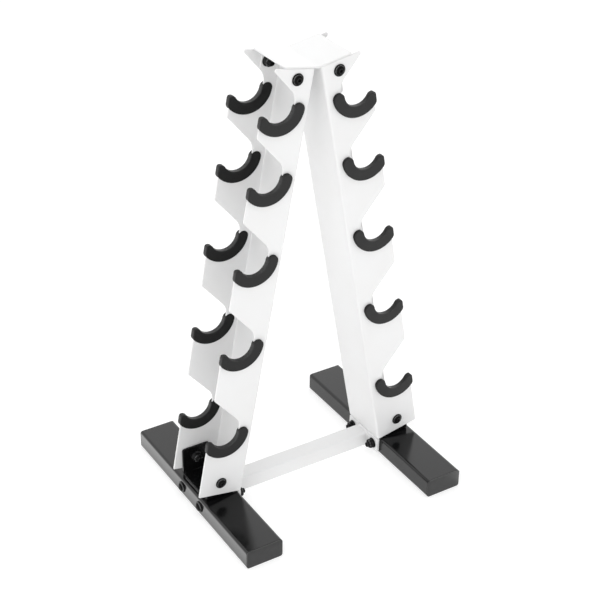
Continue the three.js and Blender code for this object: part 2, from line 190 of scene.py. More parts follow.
def corner_arc(before, corner, after, radius, steps=8):
    """The arc that rounds a corner between two straight stretches."""
    corner = Vector(corner)
    back = (Vector(before) - corner).normalized()
    ahead = (Vector(after) - corner).normalized()
    half = back.angle(ahead) / 2
    centre = corner + (back + ahead).normalized() * (radius / math.sin(half))
    first = corner + back * (radius / math.tan(half)) - centre
    turn = first.angle_signed(corner + ahead * (radius / math.tan(half)) - centre)
    start = math.atan2(first.y, first.x)
    return arc(centre.x, centre.y, radius, start, start - turn, steps)


def rounded(corners, steps=8, support=0.6 * MM):
    """A closed outline through corners, each (x, y, radius), with a point just past each arc's ends."""
    points = []
    count = len(corners)
    for i, (x, y, radius) in enumerate(corners):
        before = corners[i - 1][:2]
        after = corners[(i + 1) % count][:2]
        if radius == 0:
            points.append((x, y))
            continue
        curve = corner_arc(before, (x, y), after, radius, steps)
        if support:
            back = (Vector(before) - Vector((x, y))).normalized() * support
            ahead = (Vector(after) - Vector((x, y))).normalized() * support
            curve = [tuple(Vector(curve[0]) + back)] + curve + [tuple(Vector(curve[-1]) + ahead)]
        points += curve
    return points


def rectangle(width, height, radius, steps=8):
    """An upright rectangle about the origin, with rounded corners."""
    x, y = width / 2, height / 2
    return rounded([(-x, -y, radius), (x, -y, radius), (x, y, radius), (-x, y, radius)], steps)


def inset(loop, amount):
    """The loop moved to its left by an amount, which is inwards for an anticlockwise one."""
    moved = []
    count = len(loop)
    for i, point in enumerate(loop):
        here = Vector(point)
        back = (here - Vector(loop[i - 1])).normalized()
        ahead = (Vector(loop[(i + 1) % count]) - here).normalized()
        left = Vector((-back.y - ahead.y, back.x + ahead.x)).normalized()
        reach = amount / max(left.dot(Vector((-back.y, back.x))), 0.3)
        moved.append(tuple(here + left * reach))
    return moved


def inside(point, loops):
    """Whether a point is in the outline and outside its holes."""
    x, y = point
    crossings = 0
    for loop in loops:
        for (x0, y0), (x1, y1) in zip(loop, loop[1:] + loop[:1]):
            if (y0 > y) != (y1 > y) and x < x0 + (y - y0) * (x1 - x0) / (y1 - y0):
                crossings += 1
    return crossings % 2 == 1


def edge_profile(thickness, edge, steps=3, hold=0.35 * MM, worn=0.3 * MM):
    """Round the edge of a plate from one face to the other: (inset, depth, wear) at each ring."""
    turns = [math.pi / 2 * i / steps for i in range(steps + 1)]
    near = [(edge * (1 - math.sin(a)), edge * (1 - math.cos(a)), 1) for a in turns]
    half = [(edge + hold + worn, 0, 0), (edge + hold, 0, 0.35)] + near
    return half + [(i, thickness - depth, wear_and_sheen) for i, depth, wear_and_sheen in reversed(half)]


def plate(loops, thickness, edge, fold=lambda u, v, w: (u, v, w), cuts=(), steps=3):
    """A sheet with softly rounded edges, cut to an anticlockwise outline and clockwise holes.

    fold takes a point of the flat blank, with its depth below the first face, to its place. cuts are
    where the blank is split across from its lower edge to its upper one, so that it can bend there.
    """
    shape = Shape()
    profile = edge_profile(thickness, edge, steps)
    faces = ([], [])  # the two faces' outlines, and where each starts among the points
    for loop in loops:
        count = len(loop)
        first = len(shape.points)
        for away, depth, wear_and_sheen in profile:
            ring = inset(loop, away)
            shape.points += [fold(u, v, depth) for u, v in ring]
            shape.wear_and_sheen += [wear_and_sheen] * count
            if depth in (0, thickness) and wear_and_sheen == 0:
                faces[0 if depth == 0 else 1].append((ring, len(shape.points) - count))
        for k in range(len(profile) - 1):
            for i in range(count):
                j = (i + 1) % count
                a, b = first + k * count, first + (k + 1) * count
                shape.faces.append((a + i, a + j, b + j, b + i))
    for rings in faces:
        flat = [Vector(p) for ring, _ in rings for p in ring]
        where = [start + i for ring, start in rings for i in range(len(ring))]
        edges = []
        offset = 0
        for ring, _ in rings:
            edges += [(offset + i, offset + (i + 1) % len(ring)) for i in range(len(ring))]
            offset += len(ring)
        for cut in cuts:
            ends = [i for i, p in enumerate(flat[: len(rings[0][0])]) if abs(p.x - cut) < 1e-7]
            low, high = min(ends, key=lambda i: flat[i].y), max(ends, key=lambda i: flat[i].y)
            edges.append((low, high))
        _, _, triangles, origin, _, _ = delaunay_2d_cdt(flat, edges, [], 0, 1e-9)
        outlines = [ring for ring, _ in rings]
        for triangle in triangles:
            ids = [origin[i][0] for i in triangle]
            a, b, c = (flat[i] for i in ids)
            if abs((b - a).cross(c - a)) > SLIVER and inside((a + b + c) / 3, outlines):
                shape.faces.append(tuple(where[i] for i in ids))
    return shape


def loft(rings, wear_and_sheen, closed=False):
    """A surface through rings of the same number of points, capped at both ends or closed on itself."""
    shape = Shape()
    count = len(rings[0])
    for ring, worn in zip(rings, wear_and_sheen):
        shape.points += [tuple(p) for p in ring]
        shape.wear_and_sheen += [worn] * count
    pairs = list(zip(range(len(rings) - 1), range(1, len(rings))))
    if closed:
        pairs.append((len(rings) - 1, 0))
    for a, b in pairs:
        for i in range(count):
            j = (i + 1) % count
            shape.faces.append((a * count + i, a * count + j, b * count + j, b * count + i))
    if not closed:
        for k in (0, len(rings) - 1):
            middle = sum((Vector(p) for p in rings[k]), Vector()) / count
            shape.points.append(tuple(middle))
            shape.wear_and_sheen.append(wear_and_sheen[k])
            hub = len(shape.points) - 1
            shape.faces += [(k * count + i, k * count + (i + 1) % count, hub) for i in range(count)]
    return shape


def prism(loop, start, end):
    """An outline in X and Z drawn out along Y."""
    shape = Shape()
    count = len(loop)
    shape.points = [(x, y, z) for y in (start, end) for x, z in loop]
    shape.wear_and_sheen = [0] * (2 * count)
    shape.faces = [tuple(range(count)), tuple(range(count, 2 * count))]
    for i in range(count):
        j = (i + 1) % count
        shape.faces.append((i, j, count + j, count + i))
    return shape


# ---- Blanks and folding ----


def bolt_hole(x, y):
    """The clockwise outline of a bolt hole."""
    return arc(x, y, HOLE_RADIUS, 0, -2 * math.pi, steps=24)[:-1]


def square_end(reach, half, radius):
    """The right-hand edge of a blank that ends square, with its corners rounded."""
    low, high = (reach, -half), (reach, half)
    return corner_arc((0, -half), low, high, radius) + corner_arc(low, high, (0, half), radius)


def blank(right, cuts, low, high):
    """The outline of a blank that is the same on both sides, from its right-hand edge, with a point
    where each cut meets its lower and upper edges."""
    left = [(-u, v) for u, v in reversed(right)]
    return [(u, low) for u in cuts] + right + [(u, high) for u in reversed(cuts)] + left


def u_fold(half, radius, thickness):
    """For a sheet folded into a U whose outside is 2 * half wide: its bend's start, its developed
    arc, and the fold, which gives (depth, across, along)."""
    flat = half - radius
    bend = (radius - thickness / 2) * math.pi / 2

    def fold(u, v, w):
        way = math.copysign(1, u)
        reach = abs(u)
        if reach <= flat:
            return (w, u, v)
        if reach < flat + bend:
            turn = (reach - flat) / bend * math.pi / 2
            r = radius - w
            return (radius - r * math.cos(turn), way * (flat + r * math.sin(turn)), v)
        return (radius + reach - flat - bend, way * (half - w), v)

    return flat, bend, fold


def bend_cuts(flat, bend, steps=8, support=1 * MM):
    """Where a sheet folded to a U is split, from one side to the other."""
    along = [flat + bend * i / steps for i in range(steps + 1)]
    one = [flat - support] + along + [flat + bend + support]
    return [-u for u in reversed(one)] + one


# ---- The channel ----

upright_box = {side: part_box(f"{side}_upright") for side in SIDES}
BASE_Z = upright_box["right"][0].z
WEB_X = upright_box["right"][0].x + CHANNEL_LENGTH * math.sin(LEAN)


def channel_place(side):
    """The frame of a leaning channel: X outwards from its web, Z up along it."""
    turn = Matrix.Rotation(0 if side > 0 else math.pi, 4, "Z")
    return Matrix.Translation((side * WEB_X, 0, BASE_Z)) @ turn @ Matrix.Rotation(-LEAN, 4, "Y")


def flange_edge():
    """The notched outer edge of a flange, from the channel's lower end to its upper one."""
    neck = CRADLE_T - NOTCH_RADIUS
    run = (CHANNEL_DEPTH - neck - NOTCH_RADIUS * (1 - math.cos(RAMP_ANGLE))) / math.tan(RAMP_ANGLE)
    foot = (CHANNEL_DEPTH, 0)
    edge = quadratic((CHANNEL_DEPTH - FLANGE_CORNER, 0), foot, (CHANNEL_DEPTH, FLANGE_CORNER), 6)
    for s in CRADLE_S:
        top = s - TIP_DROP
        tip = (CHANNEL_DEPTH, top)
        edge += quadratic((CHANNEL_DEPTH, top - TIP_CORNER), tip, (CHANNEL_DEPTH - TIP_CORNER, top), 6)
        edge += arc(CRADLE_T, s, NOTCH_RADIUS, math.asin(-TIP_DROP / NOTCH_RADIUS), -math.pi, steps=28)
        edge += arc(CRADLE_T, s + NOTCH_WALL, NOTCH_RADIUS, math.pi, math.pi - RAMP_ANGLE, steps=10)
        start = edge[-1]
        end = (CHANNEL_DEPTH, start[1] + run)
        if end[1] < CHANNEL_LENGTH:
            edge += corner_arc(start, end, (CHANNEL_DEPTH, end[1] + RAMP_CORNER), RAMP_CORNER, steps=6)
        else:
            horn = (start[0] + (CHANNEL_LENGTH - start[1]) * math.tan(RAMP_ANGLE), CHANNEL_LENGTH)
            edge += corner_arc(start, horn, (0, CHANNEL_LENGTH), HORN_CORNER)
    return edge


def channel_shape(bolts):
    """A channel with holes for bolts through both flanges, each (outwards from the web, up along it)."""
    flat, bend, fold = u_fold(CHANNEL_WIDTH / 2, CHANNEL_BEND, SHEET)
    cuts = bend_cuts(flat, bend)
    shift = flat + bend - CHANNEL_BEND  # from a place on a flange to the same place on the blank
    outline = blank([(t + shift, s) for t, s in flange_edge()], cuts, 0, CHANNEL_LENGTH)
    holes = [bolt_hole(way * (t + shift), s) for t, s in bolts for way in (-1, 1)]
    return plate([outline] + holes, SHEET, COAT_EDGE, fold, cuts)


# ---- Pads ----


def crescent():
    """Round the seat: its inner end is round, and its outer end is cut along the flange's edge."""
    inner, outer = PAD_RADIUS - PAD_HALF_WIDTH, PAD_RADIUS + PAD_HALF_WIDTH
    edge = CHANNEL_DEPTH - CRADLE_T + PAD_REACH
    heel = -math.sqrt(outer**2 - edge**2)
    tip = -PAD_TIP_DROP
    tip_round = PAD_TIP_CORNER / 2
    seat_end = math.asin((tip - tip_round) / inner)
    seat = (inner * math.cos(seat_end), inner * math.sin(seat_end))
    start = (PAD_RADIUS * math.cos(PAD_START), PAD_RADIUS * math.sin(PAD_START))
    loop = arc(0, 0, outer, PAD_START, math.atan2(heel, edge) - PAD_HEEL_CORNER / outer, steps=44)
    loop += quadratic(loop[-1], (edge, heel), (edge, heel + PAD_HEEL_CORNER), steps=8)[1:]
    loop += quadratic((edge, tip - PAD_TIP_CORNER), (edge, tip), (edge - PAD_TIP_CORNER, tip), steps=8)
    loop += quadratic((edge - PAD_TIP_CORNER, tip), (seat[0] + tip_round, tip), seat, steps=8)[1:]
    loop += arc(0, 0, inner, seat_end, PAD_START, steps=36)[1:]
    loop += arc(*start, PAD_HALF_WIDTH, PAD_START + math.pi, PAD_START + 2 * math.pi, steps=16)[1:-1]
    return loop


def groove():
    """The room for the flange inside a pad."""
    radius = NOTCH_RADIUS - GAP
    edge = CHANNEL_DEPTH - CRADLE_T + GAP
    top = GAP - TIP_DROP
    reach = 2 * PAD_RADIUS
    loop = [(-reach, -reach), (edge, -reach)]
    loop += quadratic((edge, top - TIP_CORNER), (edge, top), (edge - TIP_CORNER, top), steps=5)
    loop += arc(0, 0, radius, math.asin(top / radius), -math.pi, steps=40)
    return loop + [(-radius, NOTCH_RADIUS), (-reach, NOTCH_RADIUS)]


def pad_mesh(name, outward):
    """A rubber pad on a flange at Y = 0, with its thick side towards outward Y."""
    thickness = PAD_OUTSIDE + SHEET + PAD_INSIDE
    face = SHEET / 2 + PAD_OUTSIDE

    def stand(u, v, w):
        return (u, outward * (face - w), v)

    body = plate([crescent()], thickness, PAD_EDGE, stand, steps=4)
    half = SHEET / 2 + GAP
    cutter = prism(groove(), -half, half)
    pair = [bpy.data.objects.new("work", s.mesh("work", "rubber")) for s in (body, cutter)]
    for item in pair:
        bpy.context.collection.objects.link(item)
    cut = pair[0].modifiers.new("Groove", "BOOLEAN")
    cut.operation = "DIFFERENCE"
    cut.solver = "EXACT"
    cut.object = pair[1]
    graph = bpy.context.evaluated_depsgraph_get()
    mesh = bpy.data.meshes.new_from_object(pair[0].evaluated_get(graph))
    for item in pair:
        bpy.data.objects.remove(item)
    mesh.name = name
    mesh["slot"] = "rubber"
    mesh.shade_smooth()
    mesh.set_sharp_from_angle(angle=PAD_SHARP)
    return mesh


# ---- Tubes and plugs ----


def tube_shape(width, height, corner, length):
    """A hollow rectangular tube along Y."""
    outer = rectangle(width, height, corner)
    inner = rectangle(width - 2 * TUBE_WALL, height - 2 * TUBE_WALL, corner - TUBE_WALL)
    half = length / 2
    rings, wear_and_sheen = [], []

    def station(loop, away, y, worn):
        rings.append([(x, y, z) for x, z in inset(loop, away)])
        wear_and_sheen.append(worn)

    turns = [math.pi / 2 * i / 3 for i in range(4)]
    lip = [(TUBE_EDGE * (1 - math.sin(a)), half - TUBE_EDGE * (1 - math.cos(a))) for a in turns]
    end = [(away, y, 1) for away, y in lip] + [(0, half - TUBE_HOLD, 0)]
    for away, y, worn in end:
        station(outer, away, -y, worn)
    for away, y, worn in reversed(end):
        station(outer, away, y, worn)
    station(inner, 0, half, 0)
    station(inner, 0, -half, 0)
    return loft(rings, wear_and_sheen, closed=True)


def plug_shape(width, height):
    """A tube plug with its face towards -Y at Y = 0 and its insert towards +Y."""
    outline = rectangle(width, height, FOOT_CORNER)
    insert = TUBE_WALL + GAP
    turns = [math.pi / 2 * i / 4 for i in range(5)]
    edge = [(PLUG_EDGE * (1 - math.sin(a)), PLUG_DOME + PLUG_EDGE * (1 - math.cos(a))) for a in turns]
    # Each station is how far in from the outline it lies, and how far behind the middle of the face.
    stations = [(9 * MM, 0), (5 * MM, 0.15 * PLUG_DOME), (2.5 * MM, 0.5 * PLUG_DOME)]
    stations += [(PLUG_EDGE + 0.4 * MM, PLUG_DOME)] + edge
    stations += [(0, PLUG_FACE - PLUG_BACK), (PLUG_BACK, PLUG_FACE)]
    stations += [(insert, PLUG_FACE), (insert, PLUG_INSERT - 1 * MM), (insert + 0.8 * MM, PLUG_INSERT)]
    stations += [(insert + TUBE_WALL, PLUG_INSERT), (insert + TUBE_WALL, PLUG_WEB)]
    rings, wear_and_sheen = [], []
    for away, y in stations:
        rings.append([(x, y, z) for x, z in shrink(outline, width, height, away)])
        wear_and_sheen.append(1 if PLUG_DOME < y < PLUG_FACE else 0)
    return loft(rings, wear_and_sheen)


def shrink(loop, width, height, away):
    """A rectangular loop scaled to lie that far inside itself."""
    return [(x * (1 - 2 * away / width), z * (1 - 2 * away / height)) for x, z in loop]


# ---- Fasteners ----

BOLT_SIDES = 48
NUT_SIDES = 72
FASTENER_SHARP = math.radians(38)

# Radius, height from the seat and wear, both sizes in mm. The wear on the flange's rim and at the dome's
# foot is a painted highlight, which the finish's noise breaks into arcs.
HEAD_FLANGE = ((8.3, 0.0, 0), (8.75, 0.12, 0), (8.9, 0.45, 0.1), (8.82, 0.8, 0.1), (8.6, 1.02, 0.1),
               (8.1, 1.16, 0), (7.5, 1.26, 0), (7.15, 1.42, 0.6), (6.95, 1.8, 0.6))
NUT_FLANGE = ((7.9, 0, 0), (8.35, 0.15, 0), (8.5, 0.45, 0.2), (8.3, 0.8, 0.2), (7.9, 1.05, 0))
NUT_LEVELS = (1.2, 1.5, 1.9, 2.4, 3.2, 5.0, 6.3, 6.8, 7.2, 7.6, 7.9, 8.0)

DOME_RADIUS = 6.9 * MM
DOME_BASE = 1.2 * MM  # height of the dome's widest section over the seat
DOME_RISE = 3.75 * MM
DOME_FULLNESS = 0.62  # 1 for a round dome, and less for a fuller one
THREAD_FLANK = 3.1  # steepness of a thread's flanks, per turn
THREAD_CREST = 1.35  # over 1 by how wide the crest is


def nut_chamfer(z):
    """The radius of the cone that takes off a nut's upper corners, with both in mm."""
    return min(8.9, 6.15 + (8.0 - z) * 1.75)


def nut_skirt(z):
    """The radius of the cone between a nut's flange and its flats, with both in mm."""
    return 7.9 - (z - 1.05) * 1.1 if z < 3 else 0


def circle(radius, z, sides=BOLT_SIDES):
    """A ring about Z, whose radius is a number or depends on the direction."""
    ring = []
    for i in range(sides):
        turn = 2 * math.pi * i / sides
        reach = radius(turn) if callable(radius) else radius
        ring.append((reach * math.cos(turn), reach * math.sin(turn), z))
    return ring


def hexagon(flats):
    """The distance to a hexagon's side in any direction."""
    def reach(angle):
        return flats / 2 / math.cos((angle + math.pi / 6) % (math.pi / 3) - math.pi / 6)
    return reach


def thread(z):
    """The radius of a thread in any direction, at a height."""
    def reach(angle):
        phase = (z / THREAD_PITCH - angle / (2 * math.pi)) % 1
        crest = min(1, max(0, THREAD_CREST - THREAD_FLANK * abs(phase - 0.5)))
        return SHANK_RADIUS * 0.985 - THREAD_DEPTH * (1 - crest)
    return reach


def bolt_shape(length):
    """A flanged button-head bolt that seats at Z = 0, with its head upwards."""
    rings, wear_and_sheen = [], []

    def station(radius, z, worn=0.0):
        rings.append(circle(radius, z))
        wear_and_sheen.append(worn)

    threaded = min(length - 3 * MM, THREAD_LENGTH)
    station(SHANK_RADIUS - 1.1 * MM, -length)
    station(SHANK_RADIUS - 0.8 * MM, -length + 0.1 * MM)
    count = round(threaded / (THREAD_PITCH / 6))
    for i in range(count + 1):
        z = -length + 0.5 * MM + threaded * i / count
        station(thread(z), z, 0.15)
    station(SHANK_RADIUS * 0.98, -length + threaded + 1.2 * MM)
    station(SHANK_RADIUS * 0.98, -0.4 * MM)
    station(SHANK_RADIUS * 0.98, 0)
    for radius, z, worn in HEAD_FLANGE:
        station(radius * MM, z * MM, worn)
    for i in range(1, 8):
        turn = math.radians(12 + 9.5 * i)
        radius = DOME_RADIUS * math.cos(turn) ** DOME_FULLNESS
        # The lowest ring of the dome carries a painted highlight.
        station(radius, DOME_BASE + DOME_RISE * math.sin(turn), 0.2 if i == 1 else 0)
    socket = hexagon(SOCKET_FLATS)
    # The socket's rim carries a painted highlight ring.
    station(3.45 * MM, HEAD_HEIGHT, 0.4)
    station(3.2 * MM, HEAD_HEIGHT - 0.02 * MM, 1)
    station(lambda a: socket(a) + 0.12 * MM, HEAD_HEIGHT - 0.25 * MM, 1)
    station(socket, HEAD_HEIGHT - 0.5 * MM, 0.3)
    station(socket, HEAD_HEIGHT - 2.7 * MM)
    station(2.3 * MM, HEAD_HEIGHT - 2.8 * MM)
    station(0.3 * MM, HEAD_HEIGHT - 3.5 * MM)
    return loft(rings, wear_and_sheen)


def nut_shape():
    """A hexagonal flange nut that seats at Z = 0, with its hexagon upwards."""
    rings, wear_and_sheen = [], []
    flats = hexagon(NUT_FLATS)

    def station(radius, z, worn=0.0):
        rings.append(circle(radius, z, NUT_SIDES))
        wear_and_sheen.append(worn)

    for radius, z, worn in NUT_FLANGE:
        station(radius * MM, z * MM, worn)
    for z in NUT_LEVELS:
        def reach(angle, chamfer=nut_chamfer(z) * MM, skirt=nut_skirt(z) * MM):
            return max(min(flats(angle), chamfer), min(skirt, flats(angle) + 1.2 * MM))

        station(reach, z * MM, 0.5 if z > 6.5 else 0.1)
    bore = SHANK_RADIUS + 0.05 * MM
    station(5.1 * MM, NUT_HEIGHT, 0.5)
    station(bore, NUT_HEIGHT - 0.9 * MM)
    station(bore, 0.9 * MM)
    station(4.9 * MM, 0)
    return loft(rings, wear_and_sheen, closed=True)


# ---- Welds ----


def bead(start, end, radius=WELD_RADIUS):
    """A rippled weld bead along a straight line."""
    start, end = Vector(start), Vector(end)
    along = (end - start).normalized()
    side = along.orthogonal().normalized()
    up = along.cross(side)
    length = (end - start).length
    count = max(12, round(length / (0.4 * MM)))
    rings, wear_and_sheen = [], []
    for i in range(count + 1):
        x = length * i / count
        ripple = 1 + 0.09 * math.sin(2 * math.pi * x / WELD_RIPPLE) + 0.05 * math.sin(x / WELD_WANDER)
        rounding = math.sqrt(max(0, 1 - (1 - min(1, x / radius, (length - x) / radius)) ** 2))
        r = radius * (0.12 + 0.88 * rounding) * ripple
        turns = [2 * math.pi * k / WELD_SIDES for k in range(WELD_SIDES)]
        rings.append([start + along * x + (side * math.cos(a) + up * math.sin(a)) * r for a in turns])
        wear_and_sheen.append(0.2)
    return loft(rings, wear_and_sheen)


# ---- Materials ----


class Finish:
    """A procedural material with the principled shader, and short ways to make its nodes."""

    def __init__(self, name, roughness, ior):
        self.material = bpy.data.materials.new(f"{name}_finish")
        self.material.use_nodes = True
        self.tree = self.material.node_tree
        self.shader = self.tree.nodes["Principled BSDF"]
        self.shader.inputs["Roughness"].default_value = roughness
        self.shader.inputs["IOR"].default_value = ior
        self.where = self.node("ShaderNodeTexCoord").outputs["Object"]

    def node(self, kind, links=(), **settings):
        """A new node, whose inputs are fed from a socket or hold a value."""
        made = self.tree.nodes.new(kind)
        for key, value in settings.items():
            setattr(made, key, value)
        for socket, value in dict(links).items():
            target = made.inputs[socket]
            if isinstance(value, bpy.types.NodeSocket):
                self.tree.links.new(value, target)
            else:
                target.default_value = value
        return made

    def noise(self, size, detail=2.0, rough=0.5, where=None):
        """Noise whose lumps are about that size."""
        links = {"Vector": where or self.where, "Scale": 1 / size, "Detail": detail, "Roughness": rough}
        return self.node("ShaderNodeTexNoise", links).outputs["Fac"]

    def stretched(self, size, ratio):
        """Noise drawn out along Z by that ratio, for brushed or drawn marks."""
        links = {"Vector": self.where, "Scale": (1, 1, 1 / ratio)}
        return self.noise(size, 3.0, 0.6, self.node("ShaderNodeMapping", links).outputs[0])

    def ramp(self, value, low, high, start=0.0, end=1.0):
        """value from start..end mapped to low..high, without going past them."""
        links = {"Value": value, "From Min": start, "From Max": end, "To Min": low, "To Max": high}
        return self.node("ShaderNodeMapRange", links).outputs["Result"]

    def maths(self, operation, a, b):
        return self.node("ShaderNodeMath", {0: a, 1: b}, operation=operation).outputs[0]

    def mix(self, factor, a, b):
        """The colour a, going over to b as the factor rises."""
        return self.node("ShaderNodeMix", {0: factor, 6: a, 7: b}, data_type="RGBA").outputs[2]

    def wear_and_sheen(self):
        """How far the surface is worn, and on bolt heads where a highlight is painted, as its shape
        says.
        """
        return self.node("ShaderNodeAttribute", attribute_name="wear_and_sheen").outputs["Fac"]

    def feed(self, socket, value):
        self.tree.links.new(value, self.shader.inputs[socket])

    def bump(self, layers):
        """Stacks (height, strength, distance) bumps on the normal."""
        normal = None
        for height, strength, distance in layers:
            links = {"Height": height, "Strength": strength, "Distance": distance}
            if normal is not None:
                links["Normal"] = normal
            normal = self.node("ShaderNodeBump", links).outputs["Normal"]
        self.feed("Normal", normal)


def grey(value, tint=0.0):
    """A near grey, bluer for a positive tint and warmer for a negative one."""
    return (value * (1 - tint), value, value * (1 + tint), 1)


def white_coat():
    """White powder coat: a fine orange peel, a little thinner and duller along the edges."""
    f = Finish("white_coat", 0.5, ior=1.4)
    clouds = f.noise(70 * MM, 3.0)
    peel = f.noise(1.1 * MM, 2.0, 0.45)
    swell = f.noise(5 * MM, 1.0)
    tone = f.mix(f.ramp(clouds, 0, 1, 0.35, 0.65), grey(0.765, -0.002), grey(0.78, 0.002))
    specks = f.ramp(f.noise(0.45 * MM, 1.0), 0, 0.05, 0.62, 0.75)
    tone = f.mix(specks, tone, grey(0.72))
    worn = f.maths("MULTIPLY", f.wear_and_sheen(), f.ramp(f.noise(3 * MM, 4.0, 0.7), 0.05, 0.5, 0.4, 0.75))
    f.feed("Base Color", f.mix(f.maths("MULTIPLY", worn, 0.4), tone, grey(0.66, -0.01)))
    satin = f.ramp(peel, 0.42, 0.56, 0.3, 0.7)
    f.feed("Roughness", f.maths("ADD", satin, f.maths("MULTIPLY", worn, 0.12)))
    f.bump([(swell, 0.12, 0.12 * MM), (peel, 0.25, 0.035 * MM)])
    return f.material


def black_gloss():
    """Black gloss paint on tube, with a slow waviness, dust-fine haze and lighter edges."""
    f = Finish("black_gloss", 0.16, ior=1.27)
    clouds = f.noise(35 * MM, 3.0)
    swell = f.noise(14 * MM, 1.0)
    peel = f.noise(1.6 * MM, 1.5)
    haze = f.noise(9 * MM, 5.0, 0.65)
    tone = f.mix(f.ramp(clouds, 0, 1, 0.35, 0.65), grey(0.0035, 0.03), grey(0.0055, 0.03))
    worn = f.maths("MULTIPLY", f.wear_and_sheen(), f.ramp(f.noise(2.2 * MM, 4.0, 0.7), 0, 0.7, 0.42, 0.7))
    f.feed("Base Color", f.mix(worn, tone, grey(0.018)))
    scuffs = f.ramp(f.stretched(0.9 * MM, 14), 0, 0.1, 0.66, 0.8)
    f.feed("Roughness", f.maths("ADD", f.ramp(haze, 0.12, 0.21, 0.3, 0.7), scuffs))
    f.bump([(swell, 0.08, 0.1 * MM), (peel, 0.07, 0.02 * MM)])
    return f.material


def rubber():
    """Moulded rubber with a fine grain, lighter on the seat and along its edge: partly rubbing, partly a
    painted highlight.
    """
    f = Finish("rubber", 0.62, ior=1.25)
    cells = {"Vector": f.where, "Scale": 1 / (0.55 * MM)}
    grain = f.node("ShaderNodeTexVoronoi", cells).outputs["Distance"]
    fine = f.noise(0.3 * MM, 2.0)
    clouds = f.noise(12 * MM, 3.0, 0.6)
    tone = f.mix(f.ramp(clouds, 0, 1, 0.35, 0.68), grey(0.006), grey(0.010))
    axes = f.node("ShaderNodeSeparateXYZ", {0: f.where})
    flat = f.node("ShaderNodeCombineXYZ", {0: axes.outputs["X"], 1: axes.outputs["Z"]}).outputs[0]
    radius = f.node("ShaderNodeVectorMath", {0: flat}, operation="LENGTH").outputs["Value"]
    inner = PAD_RADIUS - PAD_HALF_WIDTH
    seat = f.ramp(radius, 1, 0, inner + 0.2 * MM, inner + 1.6 * MM)
    # The seat and a thin band of the face beside it are painted lighter: partly rubbing, partly a
    # painted highlight along the seat's edge.
    rub_and_highlight = f.maths("MULTIPLY", seat, f.ramp(f.noise(4 * MM, 4.0, 0.7), 0.3, 0.9, 0.35, 0.7))
    f.feed("Base Color", f.mix(rub_and_highlight, tone, grey(0.03)))
    dull = f.ramp(clouds, 0.58, 0.7, 0.3, 0.7)
    f.feed("Roughness", f.maths("SUBTRACT", dull, f.maths("MULTIPLY", rub_and_highlight, 0.12)))
    f.bump([(clouds, 0.1, 0.1 * MM), (grain, 0.22, 0.05 * MM), (fine, 0.2, 0.02 * MM)])
    return f.material


def plug_plastic():
    """Moulded black plastic with a spark-eroded grain."""
    f = Finish("plug_plastic", 0.36, ior=1.34)
    grain = f.noise(0.35 * MM, 2.5, 0.6)
    clouds = f.noise(8 * MM, 3.0)
    tone = f.mix(f.ramp(clouds, 0, 1, 0.35, 0.65), grey(0.009, 0.01), grey(0.014, 0.01))
    worn = f.maths("MULTIPLY", f.wear_and_sheen(), f.ramp(f.noise(1.5 * MM, 3.0, 0.7), 0, 0.6, 0.4, 0.7))
    f.feed("Base Color", f.mix(worn, tone, grey(0.03)))
    f.feed("Roughness", f.ramp(clouds, 0.3, 0.42, 0.3, 0.7))
    f.bump([(grain, 0.22, 0.025 * MM)])
    return f.material


def black_oxide():
    """Oiled black oxide on steel, rubbed to dull steel along the edges, with painted highlight arcs on
    the bolt heads' rims, domes and sockets.
    """
    f = Finish("black_oxide", 0.25, ior=1.08)
    clouds = f.noise(2.5 * MM, 4.0, 0.6)
    grain = f.noise(0.25 * MM, 2.0)
    tone = f.mix(f.ramp(clouds, 0, 1, 0.3, 0.7), grey(0.003, 0.05), grey(0.006, -0.03))
    # This worn mask also carries the painted highlight arcs on the bolt heads, lighter where the shape
    # marks them.
    worn = f.maths("MULTIPLY", f.wear_and_sheen(), f.ramp(f.noise(5 * MM, 4.0, 0.6), 0.1, 1, 0.42, 0.58))
    f.feed("Base Color", f.mix(worn, tone, grey(0.22, 0.01)))
    f.feed("Roughness", f.ramp(clouds, 0.16, 0.3, 0.3, 0.7))
    f.bump([(grain, 0.15, 0.015 * MM)])
    return f.material


MAKERS = (white_coat, black_gloss, rubber, plug_plastic, black_oxide)
FINISHES = {make.__name__: make() for make in MAKERS}


# ---- Pieces ----


def put(node, mesh, place=Matrix()):
    """A piece that stands for a CAD node, on the rack's only body."""
    piece = bpy.data.objects.new(f"{node}_fine", mesh)
    bpy.context.collection.objects.link(piece)
    piece.matrix_world = place
    bpy.context.view_layer.update()
    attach(piece, "root")
    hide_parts(node)
    return piece


def middle(node):
    """The middle of a CAD node's box."""
    low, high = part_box(node)
    return (low + high) / 2


def outer_end(node, axis, way):
    """The middle of a node's box, moved to its end along one axis."""
    low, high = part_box(node)
    point = (low + high) / 2
    point[axis] = (high if way > 0 else low)[axis]
    return point


def aimed(point, axis, way, spin=0.0):
    """A place at a point whose Z looks along an axis, turned about it by a spin."""
    direction = Vector((0, 0, 0))
    direction[axis] = way
    turn = direction.to_track_quat("Z", "Y").to_matrix().to_4x4()
    return Matrix.Translation(point) @ turn @ Matrix.Rotation(spin, 4, "Z")


def base_bolt():
    """Where the lower bolts cross a channel, in its own frame."""
    point = middle("bolt_base_right_front")
    local = channel_place(1).inverted() @ Vector((point.x, 0, point.z))
    return (local.x, local.z)


def build_uprights():
    shape = channel_shape([(TOP_BOLT_T, TOP_BOLT_S), base_bolt()])
    mesh = shape.mesh("channel", "white_coat")
    for side, way in SIDES.items():
        put(f"{side}_upright", mesh, channel_place(way))


